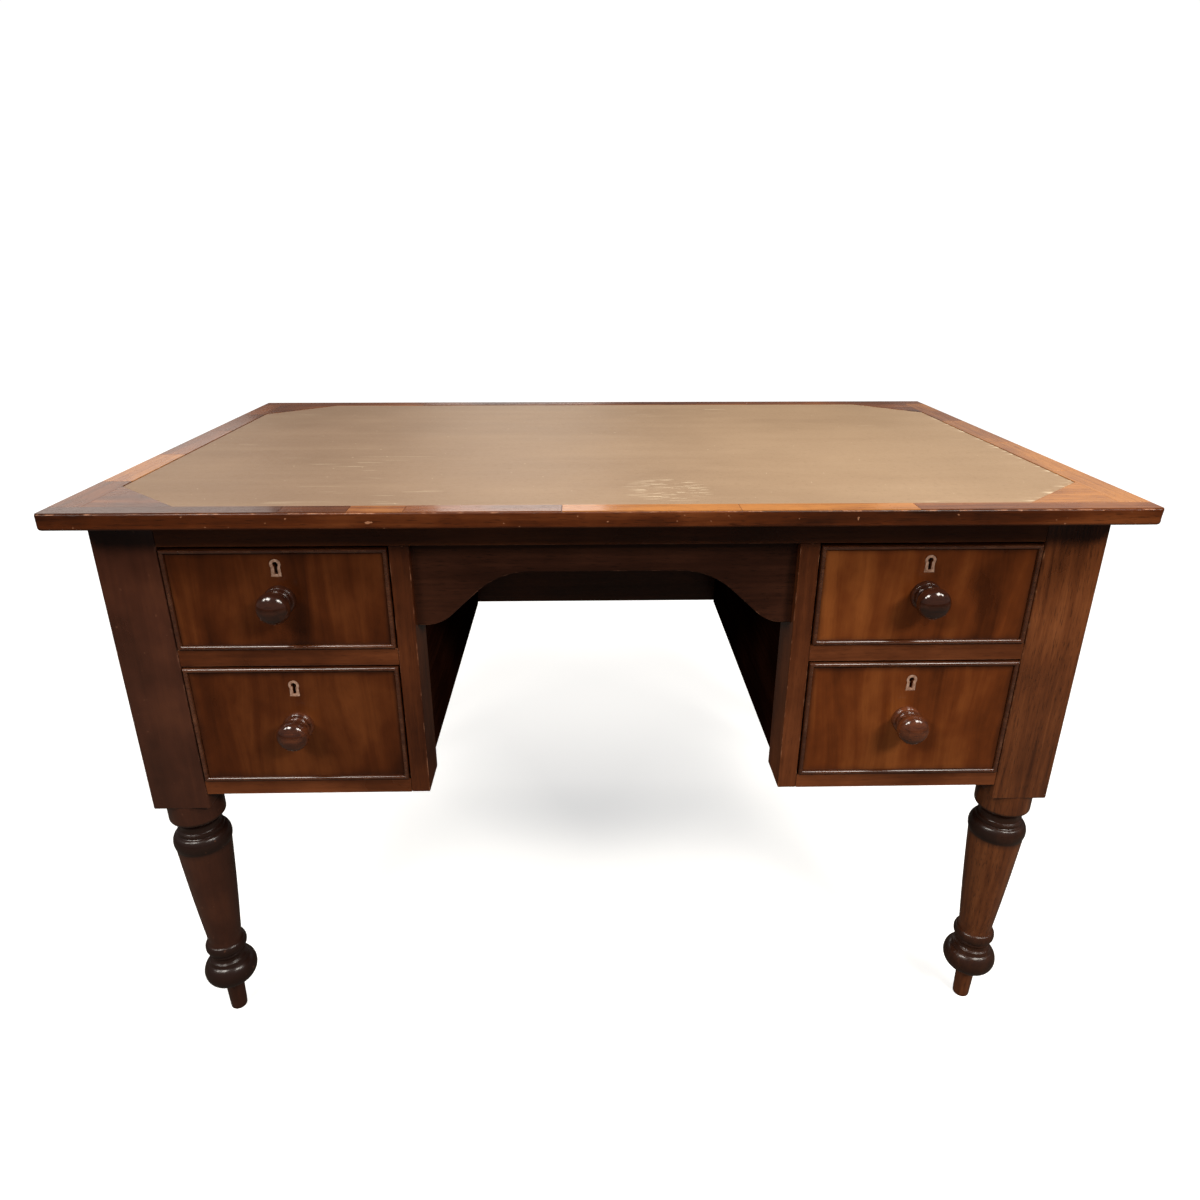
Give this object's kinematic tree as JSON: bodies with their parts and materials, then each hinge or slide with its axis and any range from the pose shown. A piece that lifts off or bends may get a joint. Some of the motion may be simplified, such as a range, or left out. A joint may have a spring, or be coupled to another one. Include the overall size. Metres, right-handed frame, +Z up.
{
  "type": "writing desk with drawers",
  "caption": "Kneehole writing desk with a leather-lined top, two pedestals of sliding, lockable drawers, a shaped apron and turned legs.",
  "frame": {"origin": "on the floor, under the centre of the desk top", "axes": "+X to the right along the length, +Y to the back (the drawers open towards -Y), +Z up"},
  "size_m": [1.17, 0.7, 0.762],
  "materials": {
    "top_wood": "polished mahogany banding, worn at the edges",
    "leather": "aged olive-brown desk leather, half gloss, scratched",
    "leg_wood": "dark polished mahogany, turned",
    "rail_wood": "dark polished mahogany",
    "front_wood": "figured mahogany veneer, french polished",
    "bead_wood": "polished mahogany bead",
    "lining_wood": "plain oak drawer lining, waxed",
    "knob_wood": "very dark glossy turned wood",
    "escutcheon": "dull inlaid brass",
    "lock_brass": "cast brass, tarnished",
    "lock_steel": "filed steel"
  },
  "bodies": {
    "desk_frame": {"top_board": "top_wood", "leather_top": "leather", "leg_front_left": "leg_wood", "leg_front_right": "leg_wood", "leg_back_left": "leg_wood", "leg_back_right": "leg_wood", "front_top_rail": "rail_wood", "back_panel": "rail_wood", "left_outer_side": "rail_wood", "right_outer_side": "rail_wood", "left_stile": "rail_wood", "right_stile": "rail_wood", "left_inner_side": "rail_wood", "right_inner_side": "rail_wood", "left_middle_shelf": "rail_wood", "left_bottom_shelf": "rail_wood", "right_middle_shelf": "rail_wood", "right_bottom_shelf": "rail_wood", "kneehole_apron": "rail_wood"},
    "upper_left_drawer": {"upper_left_front": "front_wood", "upper_left_bead": "bead_wood", "upper_left_side_left": "lining_wood", "upper_left_side_right": "lining_wood", "upper_left_back": "lining_wood", "upper_left_bottom": "lining_wood", "upper_left_knob": "knob_wood", "upper_left_escutcheon": "escutcheon", "upper_left_lock_case": "lock_brass"},
    "upper_left_bolt": {"upper_left_lock_bolt": "lock_steel"},
    "lower_left_drawer": {"lower_left_front": "front_wood", "lower_left_bead": "bead_wood", "lower_left_side_left": "lining_wood", "lower_left_side_right": "lining_wood", "lower_left_back": "lining_wood", "lower_left_bottom": "lining_wood", "lower_left_knob": "knob_wood", "lower_left_escutcheon": "escutcheon", "lower_left_lock_case": "lock_brass"},
    "lower_left_bolt": {"lower_left_lock_bolt": "lock_steel"},
    "upper_right_drawer": {"upper_right_front": "front_wood", "upper_right_bead": "bead_wood", "upper_right_side_left": "lining_wood", "upper_right_side_right": "lining_wood", "upper_right_back": "lining_wood", "upper_right_bottom": "lining_wood", "upper_right_knob": "knob_wood", "upper_right_escutcheon": "escutcheon", "upper_right_lock_case": "lock_brass"},
    "upper_right_bolt": {"upper_right_lock_bolt": "lock_steel"},
    "lower_right_drawer": {"lower_right_front": "front_wood", "lower_right_bead": "bead_wood", "lower_right_side_left": "lining_wood", "lower_right_side_right": "lining_wood", "lower_right_back": "lining_wood", "lower_right_bottom": "lining_wood", "lower_right_knob": "knob_wood", "lower_right_escutcheon": "escutcheon", "lower_right_lock_case": "lock_brass"},
    "lower_right_bolt": {"lower_right_lock_bolt": "lock_steel"}
  },
  "joints": [
    {"name": "upper_left_drawer_slide", "type": "slide", "parent": "desk_frame", "child": "upper_left_drawer", "axis": [0, -1, 0], "range_m": [0, 0.4]},
    {"name": "upper_left_bolt_slide", "type": "slide", "parent": "upper_left_drawer", "child": "upper_left_bolt", "axis": [0, 0, 1], "range_m": [0, 0.008]},
    {"name": "lower_left_drawer_slide", "type": "slide", "parent": "desk_frame", "child": "lower_left_drawer", "axis": [0, -1, 0], "range_m": [0, 0.4]},
    {"name": "lower_left_bolt_slide", "type": "slide", "parent": "lower_left_drawer", "child": "lower_left_bolt", "axis": [0, 0, 1], "range_m": [0, 0.008]},
    {"name": "upper_right_drawer_slide", "type": "slide", "parent": "desk_frame", "child": "upper_right_drawer", "axis": [0, -1, 0], "range_m": [0, 0.4]},
    {"name": "upper_right_bolt_slide", "type": "slide", "parent": "upper_right_drawer", "child": "upper_right_bolt", "axis": [0, 0, 1], "range_m": [0, 0.008]},
    {"name": "lower_right_drawer_slide", "type": "slide", "parent": "desk_frame", "child": "lower_right_drawer", "axis": [0, -1, 0], "range_m": [0, 0.4]},
    {"name": "lower_right_bolt_slide", "type": "slide", "parent": "lower_right_drawer", "child": "lower_right_bolt", "axis": [0, 0, 1], "range_m": [0, 0.008]}
  ]
}
